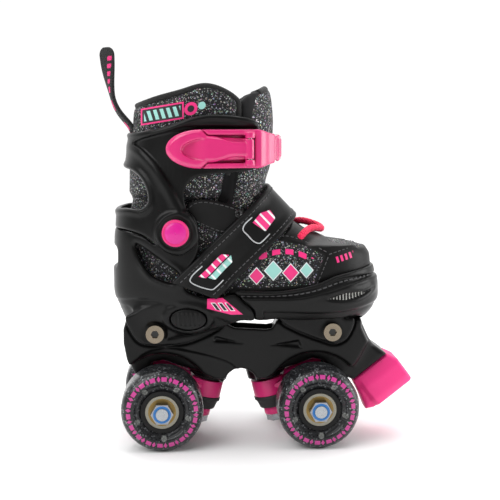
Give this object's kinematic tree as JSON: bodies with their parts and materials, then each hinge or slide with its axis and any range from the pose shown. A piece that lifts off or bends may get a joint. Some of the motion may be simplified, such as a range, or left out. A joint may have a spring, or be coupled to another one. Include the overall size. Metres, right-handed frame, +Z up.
{
  "type": "quad roller skate",
  "caption": "Child's adjustable quad roller skate: soft boot in a sliding two-part shell, hinged cuff with lever buckle, steering trucks, wheels and a toe stop.",
  "frame": {"origin": "on the ground under the middle of the skate's overall box", "axes": "+X from heel to toe, +Y across to the side away from the buckle, +Z up"},
  "size_m": [0.213, 0.114, 0.2639],
  "materials": {
    "black_plastic": "satin moulded",
    "pink_plastic": "gloss moulded",
    "smoke_urethane": "smoky with glitter",
    "steel": "zinc plated",
    "dark_rubber": "matt",
    "glitter_cloth": "glitter",
    "coated_cloth": "smooth coated",
    "webbing": "woven",
    "lace_cord": "braided"
  },
  "bodies": {
    "base": {"chassis": "black_plastic", "chassis_bolts": "steel", "cross_sleeves": "steel", "toe_stop": "pink_plastic", "toe_stop_screw": "steel", "kingpins": "steel", "kingpin_nuts": "steel", "pivot_cups": "dark_rubber", "lower_bushes": "pink_plastic", "rear_upper_cushion": "dark_rubber", "rear_lower_cushion": "dark_rubber", "front_upper_cushion": "dark_rubber", "front_lower_cushion": "dark_rubber", "heel_shell": "black_plastic", "footbed": "dark_rubber", "pivot_pins": "steel", "pivot_caps": "pink_plastic", "button_spring": "steel", "quarter": "glitter_cloth", "instep_strap": "coated_cloth", "strap_rivet": "steel"},
    "toe": {"toe_shell": "black_plastic", "size_rail": "steel", "vamp": "coated_cloth", "eyelets": "steel", "lace": "lace_cord"},
    "cuff": {"cuff": "black_plastic", "pivot_bushes": "steel", "buckle_base": "pink_plastic", "buckle_rivets": "steel", "buckle_pin": "steel", "ladder_strap": "pink_plastic", "ladder_rivet": "steel", "ankle_collar": "glitter_cloth", "tongue": "glitter_cloth", "pull_loop": "webbing"},
    "lever": {"buckle_lever": "pink_plastic"},
    "button": {"push_button": "black_plastic"},
    "rear_truck": {"rear_hanger": "pink_plastic", "rear_axle": "steel", "rear_axle_nuts": "steel", "rear_spacers": "steel"},
    "front_truck": {"front_hanger": "pink_plastic", "front_axle": "steel", "front_axle_nuts": "steel", "front_spacers": "steel"},
    "wheel_rear_left": {"tyre_rear_left": "smoke_urethane", "hub_rear_left": "black_plastic", "bearings_rear_left": "steel"},
    "wheel_rear_right": {"tyre_rear_right": "smoke_urethane", "hub_rear_right": "black_plastic", "bearings_rear_right": "steel"},
    "wheel_front_left": {"tyre_front_left": "smoke_urethane", "hub_front_left": "black_plastic", "bearings_front_left": "steel"},
    "wheel_front_right": {"tyre_front_right": "smoke_urethane", "hub_front_right": "black_plastic", "bearings_front_right": "steel"}
  },
  "joints": [
    {"name": "toe_slide", "type": "slide", "parent": "base", "child": "toe", "axis": [1, 0, 0], "range_m": [0, 0.02]},
    {"name": "cuff_lean", "type": "hinge", "parent": "base", "child": "cuff", "pos_m": [-0.05569, 0, 0.143], "axis": [0, 1, 0], "range_deg": [-1, 6], "stiffness_Nm_per_rad": 8},
    {"name": "lever_swing", "type": "hinge", "parent": "cuff", "child": "lever", "pos_m": [-0.00769, -0.04587, 0.197], "axis": [0, 0, 1], "range_deg": [0, 110]},
    {"name": "button_press", "type": "slide", "parent": "base", "child": "button", "axis": [0.1564, 0.9877, 0], "range_m": [0, 0.002], "stiffness_N_per_m": 600, "deforming": ["button_spring"]},
    {"name": "rear_truck_lean", "type": "hinge", "parent": "base", "child": "rear_truck", "pos_m": [-0.03619, 0, 0.033], "axis": [-0.924, 0, 0.3824], "range_deg": [-8, 8], "stiffness_Nm_per_rad": 25, "deforming": ["rear_upper_cushion", "rear_lower_cushion"]},
    {"name": "front_truck_lean", "type": "hinge", "parent": "base", "child": "front_truck", "pos_m": [0.00881, 0, 0.033], "axis": [0.924, 0, 0.3824], "range_deg": [-8, 8], "stiffness_Nm_per_rad": 25, "deforming": ["front_upper_cushion", "front_lower_cushion"]},
    {"name": "rear_left_wheel_spin", "type": "hinge", "parent": "rear_truck", "child": "wheel_rear_left", "pos_m": [-0.06519, 0.035, 0.027], "axis": [0, 1, 0], "continuous": true},
    {"name": "rear_right_wheel_spin", "type": "hinge", "parent": "rear_truck", "child": "wheel_rear_right", "pos_m": [-0.06519, -0.035, 0.027], "axis": [0, 1, 0], "continuous": true},
    {"name": "front_left_wheel_spin", "type": "hinge", "parent": "front_truck", "child": "wheel_front_left", "pos_m": [0.03781, 0.035, 0.027], "axis": [0, 1, 0], "continuous": true},
    {"name": "front_right_wheel_spin", "type": "hinge", "parent": "front_truck", "child": "wheel_front_right", "pos_m": [0.03781, -0.035, 0.027], "axis": [0, 1, 0], "continuous": true}
  ]
}
